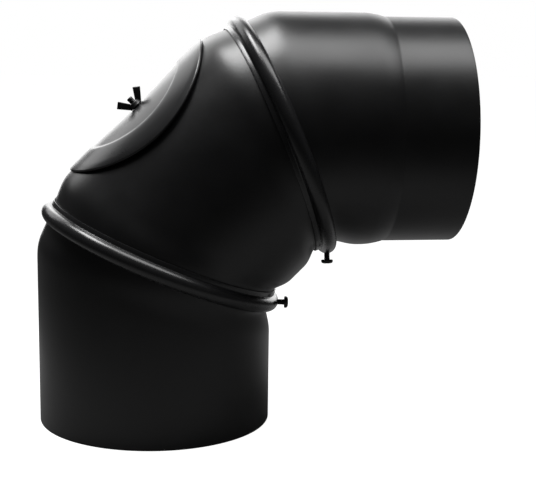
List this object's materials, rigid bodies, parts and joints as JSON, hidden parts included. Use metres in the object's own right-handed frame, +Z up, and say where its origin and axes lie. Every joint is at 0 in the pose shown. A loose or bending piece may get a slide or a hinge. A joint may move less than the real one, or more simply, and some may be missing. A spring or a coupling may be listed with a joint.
{
  "type": "flue elbow",
  "caption": "Black steel stove-pipe elbow of swivelling sections, set at a right angle, with rolled joint rings, lock screws and a round cleaning hatch held by a wing nut.",
  "frame": {"origin": "on the ground under the middle of the elbow's overall length, in the bend plane", "axes": "+Z up along the lower pipe, +X along the upper pipe out of its spigot, +Y across the bend plane"},
  "size_m": [0.2746, 0.1686, 0.271],
  "materials": {
    "pipe_paint": "satin black heat-proof paint on mild steel sheet",
    "ring_paint": "satin black heat-proof paint on rolled steel",
    "cover_paint": "satin black heat-proof paint on pressed steel",
    "fitting_paint": "matt black coated steel fasteners",
    "gasket_fibre": "black graphited glass-fibre sealing tape",
    "bar_steel": "plain zinc-plated steel strip"
  },
  "bodies": {
    "lower": {"lower_section": "pipe_paint", "lower_swivel_ring": "ring_paint"},
    "lower_screw": {"lower_lock_screw": "fitting_paint"},
    "middle": {"middle_section": "pipe_paint"},
    "clamp": {"clamp_bar": "bar_steel", "clamp_bolt": "fitting_paint"},
    "cover": {"hatch_cover": "cover_paint", "hatch_gasket": "gasket_fibre"},
    "nut": {"wing_nut": "fitting_paint"},
    "upper": {"upper_section": "pipe_paint", "upper_swivel_ring": "ring_paint"},
    "upper_screw": {"upper_lock_screw": "fitting_paint"}
  },
  "joints": [
    {"name": "lower_swivel", "type": "hinge", "parent": "lower", "child": "middle", "pos_m": [-0.05575, 0, 0.11014], "axis": [0.3827, 0, 0.9239], "continuous": true},
    {"name": "upper_swivel", "type": "hinge", "parent": "middle", "child": "upper", "pos_m": [0.02361, 0, 0.1895], "axis": [0.9239, 0, 0.3827], "continuous": true},
    {"name": "hatch_lift", "type": "slide", "parent": "middle", "child": "cover", "axis": [-0.7071, 0, 0.7071], "range_m": [0, 0.03]},
    {"name": "wing_nut_turn", "type": "hinge", "parent": "cover", "child": "nut", "pos_m": [-0.07156, 0, 0.20887], "axis": [-0.7071, 0, 0.7071], "continuous": true},
    {"name": "clamp_bar_turn", "type": "hinge", "parent": "middle", "child": "clamp", "pos_m": [-0.0599, 0, 0.19721], "axis": [-0.7071, 0, 0.7071], "continuous": true},
    {"name": "lower_lock_screw_turn", "type": "hinge", "parent": "lower", "child": "lower_screw", "pos_m": [0.01564, -0.01642, 0.08056], "axis": [0.9774, -0.2115, 0], "continuous": true},
    {"name": "upper_lock_screw_turn", "type": "hinge", "parent": "upper", "child": "upper_screw", "pos_m": [0.05319, -0.01642, 0.11811], "axis": [0, -0.2115, -0.9774], "continuous": true}
  ]
}
